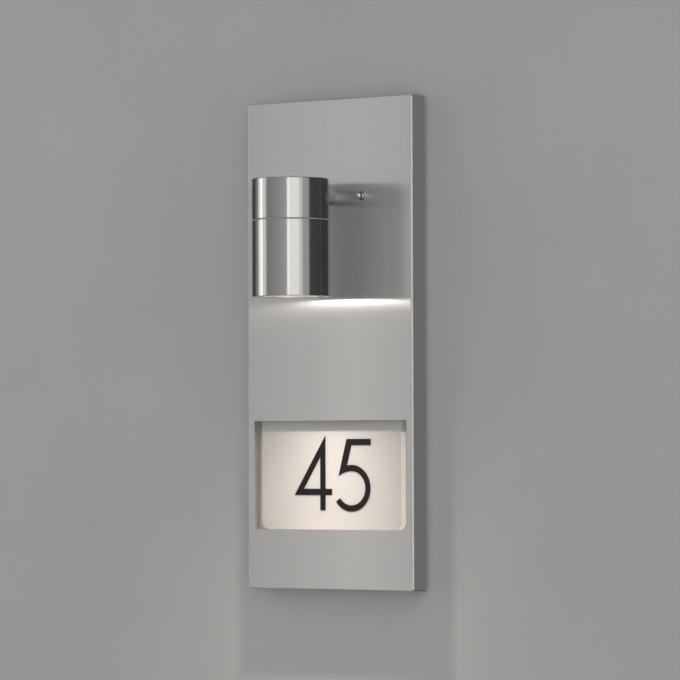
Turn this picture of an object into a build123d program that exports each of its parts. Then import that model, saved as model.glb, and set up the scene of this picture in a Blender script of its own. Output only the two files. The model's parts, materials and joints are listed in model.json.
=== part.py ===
"""House number sign with a downlight.

A folded steel cover hangs on a wall bracket, holds a number panel, and carries a lamp head that lights it.

Millimetres. The wall is the plane y = 0 and the sign stands out of it towards -Y. The origin is the middle
of the wall bracket, level with the arm; x runs to the right as the sign is read and z runs up.
"""
import os
from math import cos, pi, radians, sin, sqrt, tan

from build123d import *

os.makedirs("parts", exist_ok=True)

# ---------------------------------------------------------------- folded cover
plate_width = 160.0
plate_height = 386.0
plate_depth = 17.8
rear_gap = 2.2               # wall to the cover's rear edge, so that it clears rough plaster
sheet = 1.0
bend_radius = 1.8            # outside of the folds
bracket_rise = 308.5         # centre of the wall bracket above the cover's bottom edge
window_width = 148.0
window_height = 85.7
window_rise = 47.4           # lower edge of the window above the cover's bottom edge

# ---------------------------------------------------------------- number panel and its carrier
panel_width = 136.4
panel_height = 93.0
panel_thickness = 6.0
panel_corner = 7.0
panel_edge_round = 0.6
panel_setback = 5.5          # from the cover's front face to the panel's front face
panel_shift = -2.6           # the panel sits a little to the left in its window
panel_below_window = 0.7
tape_thickness = 0.8
tape_width = 9.0
tape_inset = 14.0
carrier_sheet = 1.0
carrier_width = 156.0
carrier_clear = 3.0          # from the panel's edges to the carrier's bends
carrier_flange = 13.0
stud_radius = 1.5            # M3 welded studs
stud_length = 8.0
stud_spacing = 120.0
stud_clearance = 0.2
nut_flats = 5.5              # M3, here and on the bracket's studs
nut_height = 2.4
thread_gap = 0.05            # between a thread's outside and the nut round it

# ---------------------------------------------------------------- digits
digit_thickness = 0.3
digit_height = 58.8
digit_rise = 15.1            # baseline above the window's lower edge
stroke = 4.85
four_left = -37.8
four_right = -1.3
four_stem_left = -12.7
four_stem_width = 5.0
four_bar_rise = 12.0
five_bar_right = 36.1
five_bar_left = 12.9
five_bar_top = 56.0
five_bowl_x = 17.5
five_bowl_radius = 18.3
five_overshoot = 0.9         # the bowl's lowest point below the baseline
five_stem_drop = 29.1
five_stem_run = 7.8
five_stem_angle = 103.6      # where the stem's inside meets the bowl
five_tail_angle = 215.5
five_throat_angle = 94.0

# ---------------------------------------------------------------- wall bracket
bracket_sheet = 1.5
bracket_height = 30.0
bracket_length = 130.0
bracket_standoff = 5.0       # wall to the bridge's front face
bridge_half = 42.0
bracket_bend = 4.0           # run of the slanted joggle
slot_spacing = 108.0
slot_width = 4.5
slot_length = 10.0
cable_hole_radius = 10.0
tab_width = 34.0
tab_drop = 26.0

# ---------------------------------------------------------------- cover fixing
fixing_spacing = 66.0
fixing_radius = 1.5          # M3
fixing_clearance = 0.2
fixing_head_radius = 3.0
fixing_head_height = 1.4
cap_nut_height = 6.5
cap_dome_radius = 2.5
cap_thread_depth = 4.3
washer_radius = 3.5
washer_thickness = 0.5

# ---------------------------------------------------------------- arm
arm_radius = 7.0
arm_wall = 1.5
nipple_radius = 5.0          # M10 x 1 hollow thread
nipple_bore = 3.5
nipple_clearance = 0.2
arm_nut_flats = 14.0
arm_nut_height = 3.0
lock_washer_radius = 8.5
lock_washer_thickness = 0.8
lock_washer_notches = 12
lock_washer_notch = 0.8
nipple_tail = 1.5            # thread showing past each nut
saddle_radius = 8.0
saddle_thickness = 1.2

# ---------------------------------------------------------------- lamp head
head_radius = 30.0
head_reach = 49.5            # cover's front face to the head's axis
head_wall = 2.0
upper_height = 31.5
head_height = 91.5
arm_below_top = 11.9
top_round = 0.8
seam_round = 0.25
rim_round = 0.5
seam_gap = 0.9
gasket_thickness = 0.8
gasket_radius = 29.2
collar_inner = 25.0
collar_grip = 9.0
spigot_length = 9.5
spigot_clearance = 0.25
gasket_clearance = 0.1
thread_pitch = 2.0
thread_turns = 4
thread_depth = 0.5
thread_start = 2.5           # first thread below the seam

# ---------------------------------------------------------------- glass and its fixings
lip_inner = 26.0
lip_thickness = 2.5
seal_thickness = 1.0
glass_radius = 27.7
glass_thickness = 4.0
glass_bevel = 0.5
ring_thickness = 1.2
ring_bite = 0.5
ring_gap_angle = 24.0
running_gap = 0.1

# ---------------------------------------------------------------- lampholder
boss_spacing = 37.0
boss_radius = 3.5
strap_length = 46.0
strap_width = 25.0
strap_thickness = 1.0
holder_radius = 14.0
holder_height = 16.0
holder_top_drop = 3.7        # top of the lampholder below the arm's axis
screw_radius = 1.5           # M3
screw_head_radius = 2.75
screw_head_height = 2.0
screw_sink = 0.5             # lampholder screws' heads below its face
screw_tail = 1.5             # thread showing past what it is driven into
screw_clearance = 0.2
strap_screw_length = 7.0
holder_screw_spacing = 19.0
pin_spacing = 10.0
pin_slot_width = 5.6
pin_slot_depth = 9.0
twist_angle = 25.0
contact_radius = 2.2
contact_length = 3.7
contact_clearance = 0.1

# ---------------------------------------------------------------- lamp
lamp_gap = 0.3               # lamp base below the lampholder
lamp_length = 46.5
lamp_radius = 25.0
lamp_rim_height = 8.5
lamp_waist_radius = 17.0
lamp_base_radius = 15.0
lamp_base_height = 12.0
lens_radius = 23.0
lens_thickness = 2.0
lens_gap = 0.1
lens_ledge = 2.0
cavity_depth = 12.0
cavity_radius = 12.0
pin_neck_radius = 1.6
pin_neck_length = 5.0
pin_head_radius = 2.5
pin_head_length = 2.5

# ---------------------------------------------------------------- terminals and wires
block_width = 30.0
block_depth = 11.0
block_height = 16.0
block_drop = 20.0            # top of the terminal block below the arm's axis
pole_spacing = 9.5
sleeve_radius = 2.5
sleeve_bore = 1.5
sleeve_inset = 1.0
block_gap = 0.1
block_corner = 1.5
block_screw_head_radius = 2.4
block_screw_head_height = 1.0
clamp_radius = 1.25
clamp_drop = 4.0             # clamp screws above and below the block's middle
clamp_sink = 0.6
wire_radius = 0.9
wire_spread = 1.4            # each lamp wire's distance from the middle of the hollow thread
wire_grip = 5.0              # length inside a terminal
wire_rise = 5.0              # straight run above the terminal block
wire_dip = 3.5               # in front of the bracket where the wires turn into the arm
wire_reach = 5.0             # past the hollow thread's end inside the head
wire_crest = 5.5             # top of the wires' bend above the lampholder
earth_x = 22.0
earth_rise = 4.0
earth_screw_radius = 2.0     # M4
earth_screw_clearance = 0.25
earth_head_radius = 3.5
lug_thickness = 0.8
lug_radius = 4.2
lug_tail = 9.0
crimp_radius = 1.9
crimp_length = 4.0

# ---------------------------------------------------------------- derived places
plate_bottom = -bracket_rise
plate_middle = plate_bottom + plate_height / 2
cover_front = -rear_gap - plate_depth
cover_inside = cover_front + sheet
window_bottom = plate_bottom + window_rise
window_middle = window_bottom + window_height / 2
panel_front = cover_front + panel_setback
panel_back = panel_front + panel_thickness
panel_bottom = window_bottom - panel_below_window
panel_middle = panel_bottom + panel_height / 2
carrier_front = panel_back + tape_thickness
carrier_low = panel_bottom - carrier_clear
carrier_high = panel_bottom + panel_height + carrier_clear
stud_low = carrier_low - carrier_sheet - carrier_flange / 2
stud_high = carrier_high + carrier_sheet + carrier_flange / 2
digit_base = window_bottom + digit_rise
bridge_front = -bracket_standoff
bridge_back = bridge_front + bracket_sheet
head_y = cover_front - head_reach
head_top = arm_below_top
seam_z = head_top - upper_height
rim_z = head_top - head_height
bore_radius = head_radius - head_wall
ceiling_z = head_top - head_wall
barrel_top = seam_z - seam_gap
holder_top = -holder_top_drop
holder_bottom = holder_top - holder_height
strap_top = holder_top + strap_thickness
lamp_top = holder_bottom - lamp_gap
lamp_face = lamp_top - lamp_length
seal_base = rim_z + lip_thickness
glass_base = seal_base + seal_thickness
glass_top = glass_base + glass_thickness
washer_front = cover_front - washer_thickness
nipple_back = cover_inside + lock_washer_thickness + arm_nut_height + nipple_tail
housing_back = head_y + bore_radius
saddle_front = housing_back - saddle_thickness
nipple_front = saddle_front - arm_nut_height - nipple_tail
block_middle = -block_drop - block_height / 2
pole_y = bridge_front - block_depth / 2
contact_top = holder_bottom + pin_slot_depth + contact_length

wall_fixings = [(x, 0) for x in (-fixing_spacing / 2, fixing_spacing / 2)]
panel_studs = [(x, z) for x in (-stud_spacing / 2, stud_spacing / 2) for z in (stud_low, stud_high)]
poles = [(x, block_middle) for x in (-pole_spacing, 0, pole_spacing)]
clamps = [(x, block_middle + z) for x, _ in poles for z in (-clamp_drop, clamp_drop)]
block_screw = [(pole_spacing / 2, block_middle)]


def facing(y):
    """Plane at depth y that faces the viewer: local x is +X, local y is +Z, and extruding goes to -Y."""
    return Plane(origin=(0, y, 0), x_dir=(1, 0, 0), z_dir=(0, -1, 0))


def level(z):
    """Horizontal plane on the lamp head's axis."""
    return Plane(origin=(0, head_y, z))


head_section = Plane(origin=(0, head_y, 0), x_dir=(1, 0, 0), z_dir=(0, -1, 0))
head_axis = Axis((0, head_y, 0), (0, 0, 1))


def save(piece, name):
    piece.part.label = name
    export_step(piece.part, f"parts/{name}.step")


# ================================================================ cover, panel and digits

with BuildPart() as front_cover:
    with BuildSketch(facing(-rear_gap)):
        with Locations((0, plate_middle)):
            Rectangle(plate_width, plate_height)
    extrude(amount=plate_depth)
    corner_edges = front_cover.edges().filter_by(Axis.Y)
    front_edges = front_cover.faces().sort_by(Axis.Y)[0].edges()
    fillet(corner_edges + front_edges, bend_radius)
    offset(amount=-sheet, openings=front_cover.faces().sort_by(Axis.Y)[-1])
    with BuildSketch(facing(cover_inside)):
        with Locations((0, window_middle)):
            Rectangle(window_width, window_height)
        Circle(nipple_radius + nipple_clearance)
        with Locations(*wall_fixings):
            Circle(fixing_radius + fixing_clearance)
    extrude(amount=sheet, mode=Mode.SUBTRACT)
save(front_cover, "front_cover")

# Steel pan that holds the number panel behind the window; its flanges lie on the back of the cover.
with BuildPart() as panel_carrier:
    with BuildSketch(Plane.YZ.offset(-carrier_width / 2)):
        with BuildLine():
            Polyline(
                (cover_inside, carrier_low - carrier_sheet - carrier_flange),
                (cover_inside, carrier_low),
                (carrier_front, carrier_low),
                (carrier_front, carrier_high),
                (cover_inside, carrier_high),
                (cover_inside, carrier_high + carrier_sheet + carrier_flange),
                (cover_inside + carrier_sheet, carrier_high + carrier_sheet + carrier_flange),
                (cover_inside + carrier_sheet, carrier_high + carrier_sheet),
                (carrier_front + carrier_sheet, carrier_high + carrier_sheet),
                (carrier_front + carrier_sheet, carrier_low - carrier_sheet),
                (cover_inside + carrier_sheet, carrier_low - carrier_sheet),
                (cover_inside + carrier_sheet, carrier_low - carrier_sheet - carrier_flange),
                close=True,
            )
        make_face()
    extrude(amount=carrier_width)
    with BuildSketch(facing(cover_inside + carrier_sheet)):
        with Locations(*panel_studs):
            Circle(stud_radius + stud_clearance)
    extrude(amount=carrier_sheet, mode=Mode.SUBTRACT)
save(panel_carrier, "panel_carrier")

with BuildPart() as carrier_studs:
    with BuildSketch(facing(cover_inside + stud_length)):
        with Locations(*panel_studs):
            Circle(stud_radius)
    extrude(amount=stud_length)
save(carrier_studs, "carrier_studs")

with BuildPart() as carrier_nuts:
    with BuildSketch(facing(cover_inside + carrier_sheet + nut_height)):
        with Locations(*panel_studs):
            RegularPolygon(nut_flats / 2, 6, major_radius=False)
            Circle(stud_radius + thread_gap, mode=Mode.SUBTRACT)
    extrude(amount=nut_height)
save(carrier_nuts, "carrier_nuts")

with BuildPart() as panel_tape:
    with BuildSketch(facing(carrier_front)):
        with Locations((panel_shift, panel_middle)):
            with GridLocations(panel_width - 2 * tape_inset, 0, 2, 1):
                Rectangle(tape_width, panel_height - 2 * tape_inset)
    extrude(amount=tape_thickness)
save(panel_tape, "panel_tape")

with BuildPart() as number_panel:
    with BuildSketch(facing(panel_back)):
        with Locations((panel_shift, panel_middle)):
            RectangleRounded(panel_width, panel_height, panel_corner)
    extrude(amount=panel_thickness)
    fillet(number_panel.faces().sort_by(Axis.Y)[0].edges(), panel_edge_round)
save(number_panel, "number_panel")

# A plain 4: a slanted stroke, a level bar and an upright stem that runs to the apex.
four_bar_low = digit_base + four_bar_rise
four_bar_high = four_bar_low + stroke
four_stem_right = four_stem_left + four_stem_width
four_apex = digit_base + digit_height
four_slope = (four_apex - four_bar_low) / (four_stem_right - four_left)
four_slant = stroke * sqrt(1 + four_slope**2) / four_slope
four_hole_left = four_left + four_slant + stroke / four_slope
with BuildPart() as digit_4:
    with BuildSketch(facing(panel_front)):
        with BuildLine():
            Polyline(
                (four_left, four_bar_low),
                (four_stem_right, four_apex),
                (four_stem_right, four_bar_high),
                (four_right, four_bar_high),
                (four_right, four_bar_low),
                (four_stem_right, four_bar_low),
                (four_stem_right, digit_base),
                (four_stem_left, digit_base),
                (four_stem_left, four_bar_low),
                close=True,
            )
        make_face()
        with BuildLine():
            Polyline(
                (four_hole_left, four_bar_high),
                (four_stem_left, four_bar_high),
                (four_stem_left, four_bar_high + four_slope * (four_stem_left - four_hole_left)),
                close=True,
            )
        make_face(mode=Mode.SUBTRACT)
    extrude(amount=digit_thickness)
save(digit_4, "digit_4")

# A plain 5: a level bar, a slanted stem and a round bowl that ends in a square-cut tail.
bowl_centre = (five_bowl_x, digit_base + five_bowl_radius - five_overshoot)
bowl_inner = five_bowl_radius - stroke


def on_bowl(radius, angle):
    return (bowl_centre[0] + radius * cos(radians(angle)), bowl_centre[1] + radius * sin(radians(angle)))


five_top = digit_base + five_bar_top
five_tip = (five_bar_left - five_stem_run, five_top - five_stem_drop)
stem_foot = on_bowl(five_bowl_radius, five_stem_angle)
stem_head = (
    stem_foot[0] + (five_top - stroke - stem_foot[1]) * five_stem_run / five_stem_drop,
    five_top - stroke,
)
with BuildPart() as digit_5:
    with BuildSketch(facing(panel_front)):
        with BuildLine():
            Polyline(
                five_tip,
                (five_bar_left, five_top),
                (five_bar_right, five_top),
                (five_bar_right, five_top - stroke),
                stem_head,
                stem_foot,
            )
            ThreePointArc(
                stem_foot,
                on_bowl(five_bowl_radius, 0),
                on_bowl(five_bowl_radius, five_tail_angle),
            )
            Line(on_bowl(five_bowl_radius, five_tail_angle), on_bowl(bowl_inner, five_tail_angle))
            throat = ThreePointArc(
                on_bowl(bowl_inner, five_tail_angle),
                on_bowl(bowl_inner, 0),
                on_bowl(bowl_inner, five_throat_angle),
            )
            TangentArc(throat @ 1, five_tip, tangent=throat % 1)
        make_face()
    extrude(amount=digit_thickness)
save(digit_5, "digit_5")

# ================================================================ wall bracket and the cover's fixings

with BuildPart() as wall_bracket:
    with BuildSketch(Plane.XY.offset(-bracket_height / 2)):
        with BuildLine():
            Polyline(
                (-bracket_length / 2, 0),
                (-bridge_half - bracket_bend, 0),
                (-bridge_half, bridge_back),
                (bridge_half, bridge_back),
                (bridge_half + bracket_bend, 0),
                (bracket_length / 2, 0),
                (bracket_length / 2, -bracket_sheet),
                (bridge_half + bracket_bend, -bracket_sheet),
                (bridge_half, bridge_front),
                (-bridge_half, bridge_front),
                (-bridge_half - bracket_bend, -bracket_sheet),
                (-bracket_length / 2, -bracket_sheet),
                close=True,
            )
        make_face()
    extrude(amount=bracket_height)
    with BuildSketch(facing(bridge_back)):
        with Locations((0, -bracket_height / 2 - tab_drop / 2)):
            Rectangle(tab_width, tab_drop)
    extrude(amount=bracket_sheet)
    with BuildSketch(facing(0)):
        Circle(cable_hole_radius)
        with GridLocations(slot_spacing, 0, 2, 1):
            SlotOverall(slot_length, slot_width)
        with Locations(*wall_fixings):
            Circle(fixing_radius)
        with Locations((earth_x, earth_rise)):
            Circle(earth_screw_radius + thread_gap)
        with Locations(*block_screw):
            Circle(screw_radius + thread_gap)
    extrude(amount=bracket_standoff, mode=Mode.SUBTRACT)
save(wall_bracket, "wall_bracket")

# Pressed-in studs that carry the cover.
with BuildPart() as bracket_studs:
    with BuildSketch(facing(bridge_back + fixing_head_height)):
        with Locations(*wall_fixings):
            Circle(fixing_head_radius)
    extrude(amount=fixing_head_height)
    with BuildSketch(facing(bridge_back)):
        with Locations(*wall_fixings):
            Circle(fixing_radius)
    extrude(amount=bridge_back - washer_front + cap_thread_depth - fixing_clearance)
save(bracket_studs, "bracket_studs")

with BuildPart() as stop_nuts:
    with BuildSketch(facing(cover_inside + nut_height)):
        with Locations(*wall_fixings):
            RegularPolygon(nut_flats / 2, 6, major_radius=False)
            Circle(fixing_radius + thread_gap, mode=Mode.SUBTRACT)
    extrude(amount=nut_height)
save(stop_nuts, "stop_nuts")

with BuildPart() as cap_nut_washers:
    with BuildSketch(facing(cover_front)):
        with Locations(*wall_fixings):
            Circle(washer_radius)
            Circle(fixing_radius + fixing_clearance, mode=Mode.SUBTRACT)
    extrude(amount=washer_thickness)
save(cap_nut_washers, "cap_nut_washers")

with BuildPart() as cap_nuts:
    with BuildSketch(facing(washer_front)):
        with Locations(*wall_fixings):
            RegularPolygon(nut_flats / 2, 6, major_radius=False)
    extrude(amount=nut_height)
    with BuildSketch(facing(washer_front)):
        with Locations(*wall_fixings):
            Circle(cap_dome_radius)
    extrude(amount=cap_nut_height - cap_dome_radius)
    for x, z in wall_fixings:
        with Locations((x, washer_front - cap_nut_height + cap_dome_radius, z)):
            Sphere(cap_dome_radius)
    with BuildSketch(facing(washer_front)):
        with Locations(*wall_fixings):
            Circle(fixing_radius + thread_gap)
    extrude(amount=cap_thread_depth, mode=Mode.SUBTRACT)
save(cap_nuts, "cap_nuts")

# ================================================================ arm

with BuildPart() as arm_tube:
    with BuildSketch(facing(cover_front)):
        Circle(arm_radius)
        Circle(arm_radius - arm_wall, mode=Mode.SUBTRACT)
    extrude(amount=head_reach)
    with BuildSketch(level(-arm_radius)):
        Circle(head_radius)
    extrude(amount=2 * arm_radius, mode=Mode.SUBTRACT)
save(arm_tube, "arm_tube")

with BuildPart() as arm_nipple:
    with BuildSketch(facing(nipple_back)):
        Circle(nipple_radius)
        Circle(nipple_bore, mode=Mode.SUBTRACT)
    extrude(amount=nipple_back - nipple_front)
save(arm_nipple, "arm_nipple")

with BuildPart() as arm_lock_washer:
    with BuildSketch(facing(cover_inside + lock_washer_thickness)):
        Circle(lock_washer_radius)
        with PolarLocations(lock_washer_radius, lock_washer_notches):
            Circle(lock_washer_notch, mode=Mode.SUBTRACT)
        Circle(nipple_radius + nipple_clearance, mode=Mode.SUBTRACT)
    extrude(amount=lock_washer_thickness)
save(arm_lock_washer, "arm_lock_washer")

with BuildPart() as cover_nut:
    with BuildSketch(facing(cover_inside + lock_washer_thickness + arm_nut_height)):
        RegularPolygon(arm_nut_flats / 2, 6, major_radius=False)
        Circle(nipple_radius + thread_gap, mode=Mode.SUBTRACT)
    extrude(amount=arm_nut_height)
save(cover_nut, "cover_nut")

with BuildPart() as saddle_washer:
    with BuildSketch(facing(housing_back)):
        Circle(saddle_radius)
        Circle(nipple_radius + nipple_clearance, mode=Mode.SUBTRACT)
    extrude(amount=saddle_thickness)
    with BuildSketch(level(-saddle_radius)):
        Circle(bore_radius)
    extrude(amount=2 * saddle_radius, mode=Mode.INTERSECT)
save(saddle_washer, "saddle_washer")

with BuildPart() as housing_nut:
    with BuildSketch(facing(saddle_front)):
        RegularPolygon(arm_nut_flats / 2, 6, major_radius=False)
        Circle(nipple_radius + thread_gap, mode=Mode.SUBTRACT)
    extrude(amount=arm_nut_height)
save(housing_nut, "housing_nut")

# ================================================================ lamp head

with BuildPart() as upper_housing:
    with BuildSketch(level(seam_z)):
        Circle(head_radius)
    extrude(amount=upper_height)
    fillet(upper_housing.faces().sort_by(Axis.Z)[-1].edges(), top_round)
    chamfer(upper_housing.faces().sort_by(Axis.Z)[0].edges(), seam_round)
    with BuildSketch(level(seam_z)):
        Circle(bore_radius)
    extrude(amount=upper_height - head_wall, mode=Mode.SUBTRACT)
    with BuildSketch(level(strap_top)):
        with GridLocations(boss_spacing, 0, 2, 1):
            Circle(boss_radius)
            Circle(screw_radius + thread_gap, mode=Mode.SUBTRACT)
    extrude(amount=ceiling_z - strap_top)
    with BuildSketch(facing(head_y)):
        Circle(nipple_radius + nipple_clearance)
    extrude(amount=-head_radius, mode=Mode.SUBTRACT)
save(upper_housing, "upper_housing")

with BuildPart() as threaded_collar:
    with BuildSketch(level(seam_z)):
        Circle(bore_radius)
        Circle(collar_inner, mode=Mode.SUBTRACT)
    extrude(amount=collar_grip)
    with BuildSketch(level(seam_z)):
        Circle(bore_radius - spigot_clearance)
        Circle(collar_inner, mode=Mode.SUBTRACT)
    extrude(amount=-spigot_length)
    with BuildSketch(head_section):
        for turn in range(thread_turns):
            with Locations((bore_radius - spigot_clearance, seam_z - thread_start - turn * thread_pitch)):
                RegularPolygon(thread_depth, 4)
    revolve(axis=head_axis, mode=Mode.SUBTRACT)
save(threaded_collar, "threaded_collar")

with BuildPart() as seam_gasket:
    with BuildSketch(level(seam_z - (seam_gap + gasket_thickness) / 2)):
        Circle(gasket_radius)
        Circle(bore_radius - spigot_clearance + gasket_clearance, mode=Mode.SUBTRACT)
    extrude(amount=gasket_thickness)
save(seam_gasket, "seam_gasket")

with BuildPart() as barrel_tube:
    with BuildSketch(level(rim_z)):
        Circle(head_radius)
    extrude(amount=barrel_top - rim_z)
    chamfer(barrel_tube.faces().sort_by(Axis.Z)[-1].edges(), seam_round)
    with BuildSketch(level(seal_base)):
        Circle(bore_radius)
    extrude(amount=barrel_top - seal_base, mode=Mode.SUBTRACT)
    with BuildSketch(level(rim_z)):
        Circle(lip_inner)
    extrude(amount=lip_thickness, mode=Mode.SUBTRACT)
    fillet(barrel_tube.faces().sort_by(Axis.Z)[0].edges(), rim_round)
    with BuildSketch(level(glass_top)):
        Circle(bore_radius + ring_bite + running_gap)
    extrude(amount=ring_thickness + 2 * running_gap, mode=Mode.SUBTRACT)
save(barrel_tube, "barrel_tube")

with BuildPart() as glass_seal:
    with BuildSketch(level(seal_base + running_gap / 2)):
        Circle(glass_radius)
        Circle(lip_inner, mode=Mode.SUBTRACT)
    extrude(amount=seal_thickness - running_gap)
save(glass_seal, "glass_seal")

with BuildPart() as front_glass:
    with BuildSketch(level(glass_base)):
        Circle(glass_radius)
    extrude(amount=glass_thickness)
    chamfer(front_glass.edges().filter_by(GeomType.CIRCLE), glass_bevel)
save(front_glass, "front_glass")

# Snap ring in the barrel's groove, open over a short arc.
with BuildPart() as glass_ring:
    with BuildSketch(level(glass_top + running_gap)):
        Circle(bore_radius + ring_bite)
        Circle(lip_inner, mode=Mode.SUBTRACT)
        with BuildLine():
            gap_reach = 2 * head_radius
            Polyline(
                (0, 0),
                (gap_reach * cos(radians(ring_gap_angle / 2)), gap_reach * sin(radians(ring_gap_angle / 2))),
                (gap_reach * cos(radians(ring_gap_angle / 2)), -gap_reach * sin(radians(ring_gap_angle / 2))),
                close=True,
            )
        make_face(mode=Mode.SUBTRACT)
    extrude(amount=ring_thickness)
save(glass_ring, "glass_ring")

# ================================================================ lampholder

with BuildPart() as holder_strap:
    with BuildSketch(level(holder_top)):
        Rectangle(strap_length, strap_width)
        with GridLocations(boss_spacing, 0, 2, 1):
            Circle(screw_radius + screw_clearance, mode=Mode.SUBTRACT)
        with GridLocations(0, holder_screw_spacing, 1, 2):
            Circle(screw_radius + thread_gap, mode=Mode.SUBTRACT)
        with GridLocations(pin_spacing, 0, 2, 1):
            Circle(contact_radius + contact_clearance, mode=Mode.SUBTRACT)
    extrude(amount=strap_thickness)
save(holder_strap, "holder_strap")

with BuildPart() as strap_screws:
    with BuildSketch(level(holder_top)):
        with GridLocations(boss_spacing, 0, 2, 1):
            Circle(screw_head_radius)
    extrude(amount=-screw_head_height)
    with BuildSketch(level(holder_top)):
        with GridLocations(boss_spacing, 0, 2, 1):
            Circle(screw_radius)
    extrude(amount=strap_screw_length)
save(strap_screws, "strap_screws")

screw_pocket = screw_head_height + screw_sink
pin_arcs = [CenterArc((0, 0), pin_spacing / 2, start - twist_angle, twist_angle) for start in (0, 180)]
with BuildPart() as lampholder:
    with BuildSketch(level(holder_bottom)):
        Circle(holder_radius)
    extrude(amount=holder_height)
    with BuildSketch(level(holder_bottom)):
        with GridLocations(0, holder_screw_spacing, 1, 2):
            Circle(screw_head_radius + screw_clearance)
    extrude(amount=screw_pocket, mode=Mode.SUBTRACT)
    with BuildSketch(level(holder_bottom)):
        with GridLocations(0, holder_screw_spacing, 1, 2):
            Circle(screw_radius + screw_clearance)
    extrude(amount=holder_height, mode=Mode.SUBTRACT)
    with BuildSketch(level(holder_bottom)):
        for arc in pin_arcs:
            SlotArc(arc, pin_slot_width)
    extrude(amount=pin_slot_depth, mode=Mode.SUBTRACT)
    with BuildSketch(level(holder_bottom)):
        with GridLocations(pin_spacing, 0, 2, 1):
            Circle(contact_radius + contact_clearance)
    extrude(amount=holder_height, mode=Mode.SUBTRACT)
save(lampholder, "lampholder")

with BuildPart() as holder_screws:
    with BuildSketch(level(holder_bottom + screw_pocket)):
        with GridLocations(0, holder_screw_spacing, 1, 2):
            Circle(screw_head_radius)
    extrude(amount=-screw_head_height)
    with BuildSketch(level(holder_bottom + screw_pocket)):
        with GridLocations(0, holder_screw_spacing, 1, 2):
            Circle(screw_radius)
    extrude(amount=strap_top - holder_bottom - screw_pocket + screw_tail)
save(holder_screws, "holder_screws")

with BuildPart() as holder_contacts:
    with BuildSketch(level(holder_bottom + pin_slot_depth)):
        with GridLocations(pin_spacing, 0, 2, 1):
            Circle(contact_radius)
    extrude(amount=contact_length)
save(holder_contacts, "holder_contacts")

# ================================================================ lamp

with BuildPart() as lamp_body:
    with BuildSketch(head_section):
        with BuildLine():
            Polyline(
                (0, lamp_top),
                (lamp_base_radius, lamp_top),
                (lamp_base_radius, lamp_top - lamp_base_height),
                (lamp_waist_radius, lamp_top - lamp_base_height),
                (lamp_radius, lamp_face + lamp_rim_height),
                (lamp_radius, lamp_face),
                (lens_radius + lens_gap, lamp_face),
                (lens_radius + lens_gap, lamp_face + lens_thickness),
                (lens_radius - lens_ledge, lamp_face + lens_thickness),
                (cavity_radius, lamp_face + lens_thickness + cavity_depth),
                (0, lamp_face + lens_thickness + cavity_depth),
                close=True,
            )
        make_face()
    revolve(axis=head_axis)
save(lamp_body, "lamp_body")

with BuildPart() as lamp_lens:
    with BuildSketch(level(lamp_face)):
        Circle(lens_radius)
    extrude(amount=lens_thickness)
save(lamp_lens, "lamp_lens")

with BuildPart() as lamp_pins:
    with BuildSketch(level(lamp_top)):
        with GridLocations(pin_spacing, 0, 2, 1):
            Circle(pin_neck_radius)
    extrude(amount=pin_neck_length)
    with BuildSketch(level(lamp_top + pin_neck_length)):
        with GridLocations(pin_spacing, 0, 2, 1):
            Circle(pin_head_radius)
    extrude(amount=pin_head_length)
save(lamp_pins, "lamp_pins")

# ================================================================ terminals, earth and wires

with BuildPart() as terminal_block:
    with BuildSketch(facing(bridge_front)):
        with Locations((0, block_middle)):
            RectangleRounded(block_width, block_height, block_corner)
    extrude(amount=block_depth)
    with BuildSketch(Plane.XY.offset(block_middle - block_height / 2)):
        with Locations((0, pole_y)):
            with GridLocations(pole_spacing, 0, 3, 1):
                Circle(sleeve_radius + block_gap)
    extrude(amount=block_height, mode=Mode.SUBTRACT)
    with BuildSketch(facing(pole_y)):
        with Locations(*clamps):
            Circle(clamp_radius + screw_clearance)
    extrude(amount=block_depth / 2, mode=Mode.SUBTRACT)
    with BuildSketch(facing(bridge_front)):
        with Locations(*block_screw):
            Circle(screw_radius + block_gap)
    extrude(amount=block_depth, mode=Mode.SUBTRACT)
save(terminal_block, "terminal_block")

with BuildPart() as terminal_sleeves:
    with BuildSketch(Plane.XY.offset(block_middle - block_height / 2 + sleeve_inset)):
        with Locations((0, pole_y)):
            with GridLocations(pole_spacing, 0, 3, 1):
                Circle(sleeve_radius)
                Circle(sleeve_bore, mode=Mode.SUBTRACT)
    extrude(amount=block_height - 2 * sleeve_inset)
    with BuildSketch(facing(pole_y)):
        with Locations(*clamps):
            Circle(clamp_radius + thread_gap)
    extrude(amount=block_depth / 2, mode=Mode.SUBTRACT)
save(terminal_sleeves, "terminal_sleeves")

with BuildPart() as terminal_screws:
    with BuildSketch(facing(pole_y - wire_radius - thread_gap)):
        with Locations(*clamps):
            Circle(clamp_radius)
    extrude(amount=block_depth / 2 - wire_radius - thread_gap - clamp_sink)
save(terminal_screws, "terminal_screws")

with BuildPart() as block_fixing_screw:
    with BuildSketch(facing(bridge_front - block_depth)):
        with Locations(*block_screw):
            Circle(block_screw_head_radius)
    extrude(amount=block_screw_head_height)
    with BuildSketch(facing(bridge_front - block_depth)):
        with Locations(*block_screw):
            Circle(screw_radius)
    extrude(amount=-block_depth - bracket_sheet - screw_tail)
save(block_fixing_screw, "block_fixing_screw")

with BuildPart() as earth_lug:
    with BuildSketch(facing(bridge_front)):
        with Locations((earth_x, earth_rise)):
            Circle(lug_radius)
        with Locations((earth_x, earth_rise - lug_tail / 2)):
            Rectangle(2 * crimp_radius, lug_tail)
        with Locations((earth_x, earth_rise)):
            Circle(earth_screw_radius + earth_screw_clearance, mode=Mode.SUBTRACT)
    extrude(amount=lug_thickness)
    with BuildSketch(Plane.XY.offset(earth_rise - lug_tail)):
        with Locations((earth_x, bridge_front - crimp_radius)):
            Circle(crimp_radius)
            Circle(wire_radius, mode=Mode.SUBTRACT)
    extrude(amount=crimp_length)
save(earth_lug, "earth_lug")

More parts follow.
